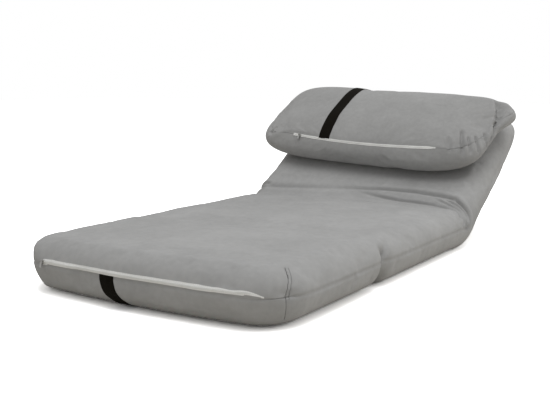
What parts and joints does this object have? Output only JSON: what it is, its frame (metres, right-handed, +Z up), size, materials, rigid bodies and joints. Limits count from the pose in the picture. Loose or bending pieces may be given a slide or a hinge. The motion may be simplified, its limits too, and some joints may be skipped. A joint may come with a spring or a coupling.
{
  "type": "convertible chair bed",
  "caption": "Low folding chair bed: foam foot section that flips onto the seat, ratchet reclining back, loose pillow, grey covers with white zips and black bands.",
  "frame": {"origin": "on the floor under the middle of the seat section, half way between the fold line and the back joint", "axes": "+X across the width, +Y along the length toward the head end of the back, +Z up from the floor"},
  "size_m": [0.7198, 1.365, 0.4095],
  "materials": {
    "cover_cloth": "matte grey upholstery weave",
    "foam": "open cell foam",
    "frame_paint": "satin powder coat",
    "hinge_steel": "zinc plated steel",
    "webbing": "woven webbing",
    "band_webbing": "black polypropylene webbing",
    "zip_tape": "white coil zip on woven tape",
    "zip_metal": "enamelled zip slider",
    "seam_cord": "sewn bead"
  },
  "bodies": {
    "seat": {"seat_cover": "cover_cloth", "seat_base_foam": "foam", "seat_top_foam": "foam", "seat_frame_tube": "frame_paint", "seat_cross_tube": "frame_paint", "seat_straps": "webbing", "seat_tube_rivets": "hinge_steel", "waist_pad": "cover_cloth", "fold_seam_cord": "seam_cord", "left_hinge_cheeks": "hinge_steel", "left_pivot_rivet": "hinge_steel", "left_pawl_pin": "hinge_steel", "left_pawl_spring": "hinge_steel", "right_hinge_cheeks": "hinge_steel", "right_pivot_rivet": "hinge_steel", "right_pawl_pin": "hinge_steel", "right_pawl_spring": "hinge_steel"},
    "back": {"back_cover": "cover_cloth", "back_rear_foam": "foam", "back_front_foam": "foam", "back_frame_tube": "frame_paint", "back_cross_tube": "frame_paint", "back_straps": "webbing", "back_tube_rivets": "hinge_steel", "left_ratchet_plate": "hinge_steel", "right_ratchet_plate": "hinge_steel"},
    "foot": {"foot_cover": "cover_cloth", "foot_foam": "foam", "foot_zip_tape": "zip_tape", "foot_band": "band_webbing"},
    "pillow": {"pillow_cover": "cover_cloth", "pillow_fill": "foam", "pillow_zip_tape": "zip_tape", "pillow_band": "band_webbing"},
    "left_pawl": {"left_pawl": "hinge_steel"},
    "right_pawl": {"right_pawl": "hinge_steel"},
    "foot_zip_slider": {"foot_zip_slider": "zip_metal"},
    "foot_zip_pull": {"foot_zip_pull": "zip_metal"},
    "pillow_zip_slider": {"pillow_zip_slider": "zip_metal"},
    "pillow_zip_pull": {"pillow_zip_pull": "zip_metal"}
  },
  "joints": [
    {"name": "back_recline", "type": "hinge", "parent": "seat", "child": "back", "pos_m": [0, 0.266, 0.055], "axis": [1, 0, 0], "range_deg": [-33, 33], "deforming": ["waist_pad"]},
    {"name": "foot_flip", "type": "hinge", "parent": "seat", "child": "foot", "pos_m": [0, -0.266, 0.1115], "axis": [-1, 0, 0], "range_deg": [0, 180]},
    {"name": "left_pawl_swing", "type": "hinge", "parent": "seat", "child": "left_pawl", "pos_m": [-0.285, 0.23689, 0.07011], "axis": [1, 0, 0], "range_deg": [0, 12]},
    {"name": "right_pawl_swing", "type": "hinge", "parent": "seat", "child": "right_pawl", "pos_m": [0.285, 0.23689, 0.07011], "axis": [1, 0, 0], "range_deg": [0, 12]},
    {"name": "pillow_lift", "type": "slide", "parent": "back", "child": "pillow", "axis": [0, -0.5446, 0.8387], "range_m": [0, 0.25]},
    {"name": "foot_zip_run", "type": "hinge", "parent": "foot", "child": "foot_zip_slider", "pos_m": [0, 1.60594, 0.07], "axis": [0, 0, 1], "range_deg": [0, 11.9]},
    {"name": "foot_zip_pull_swing", "type": "hinge", "parent": "foot_zip_slider", "child": "foot_zip_pull", "pos_m": [-0.22845, -0.68917, 0.07346], "axis": [-0.9951, 0.099, 0], "range_deg": [0, 150]},
    {"name": "pillow_zip_run", "type": "hinge", "parent": "pillow", "child": "pillow_zip_slider", "pos_m": [0.13967, 2.01517, 1.3141], "axis": [0, -0.5446, 0.8387], "range_deg": [0, 11.2]},
    {"name": "pillow_zip_pull_swing", "type": "hinge", "parent": "pillow_zip_slider", "child": "pillow_zip_pull", "pos_m": [-0.22317, 0.3332, 0.27782], "axis": [-0.9835, 0.1515, 0.0984], "range_deg": [0, 150]}
  ]
}
